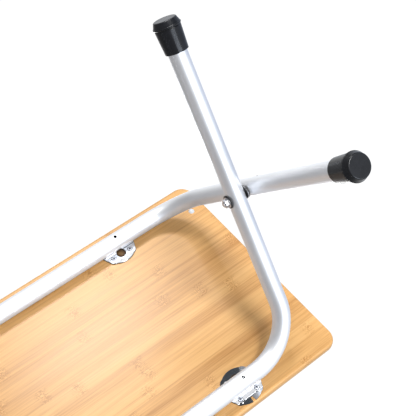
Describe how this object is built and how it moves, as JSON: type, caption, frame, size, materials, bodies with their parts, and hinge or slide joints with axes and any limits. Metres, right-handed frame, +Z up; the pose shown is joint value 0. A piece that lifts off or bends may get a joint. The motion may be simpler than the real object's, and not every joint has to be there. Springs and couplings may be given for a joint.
{
  "type": "folding tray table",
  "caption": "Low table with a bamboo board on crossed U-shaped tube legs that fold flat under the board, black rubber foot caps and round steel brackets.",
  "frame": {"origin": "on the floor, under the middle of the board, table standing open", "axes": "+X along the board's long side, +Y from the pivot bar to the latch bar, +Z up"},
  "size_m": [0.6, 0.35, 0.4173],
  "materials": {
    "bamboo": "clear satin lacquer on caramel bamboo strips, grain along X",
    "satin_tube": "satin anodised",
    "bright_plate": "bright stamped plate",
    "screw_steel": "zinc plated",
    "stainless": "bright",
    "spring_steel": "blued spring steel",
    "black_rubber": "moulded, slightly shiny",
    "black_nylon": "moulded",
    "white_nylon": "moulded",
    "clear_silicone": "soft, milky clear"
  },
  "bodies": {
    "table_top": {"top_board": "bamboo", "pivot_bracket_left": "bright_plate", "pivot_bracket_right": "bright_plate", "latch_bracket_left": "bright_plate", "latch_bracket_right": "bright_plate", "pivot_bracket_screws_left": "screw_steel", "pivot_bracket_screws_right": "screw_steel", "latch_bracket_screws_left": "screw_steel", "latch_bracket_screws_right": "screw_steel", "pivot_stud_left": "screw_steel", "pivot_stud_right": "screw_steel", "pivot_saddle_left": "white_nylon", "pivot_saddle_right": "white_nylon", "bumper_left": "clear_silicone", "bumper_right": "clear_silicone"},
    "outer_frame": {"outer_frame_tube": "satin_tube", "outer_foot_cap_left": "black_rubber", "outer_foot_cap_right": "black_rubber", "cross_bolt_left": "stainless", "cross_bolt_right": "stainless", "cross_nut_left": "stainless", "cross_nut_right": "stainless", "nut_washer_left": "stainless", "nut_washer_right": "stainless", "gap_washer_left": "stainless", "gap_washer_right": "stainless", "outer_liners_left": "black_nylon", "outer_liners_right": "black_nylon"},
    "inner_frame": {"inner_frame_tube": "satin_tube", "inner_foot_cap_left": "black_rubber", "inner_foot_cap_right": "black_rubber", "cross_bushes_left": "black_nylon", "cross_bushes_right": "black_nylon", "latch_spring_left": "spring_steel", "latch_spring_right": "spring_steel"}
  },
  "joints": [
    {"name": "fold", "type": "hinge", "parent": "table_top", "child": "outer_frame", "pos_m": [0, -0.144, 0.38934], "axis": [1, 0, 0], "range_deg": [0, 48], "deforming": ["latch_spring_left", "latch_spring_right"]},
    {"name": "crossing", "type": "hinge", "parent": "outer_frame", "child": "inner_frame", "pos_m": [0, 0, 0.20503], "axis": [1, 0, 0], "range_deg": [-96, 0]}
  ],
  "couplings": [
    {"joint": "crossing", "follows": "fold", "ratio": -2}
  ]
}
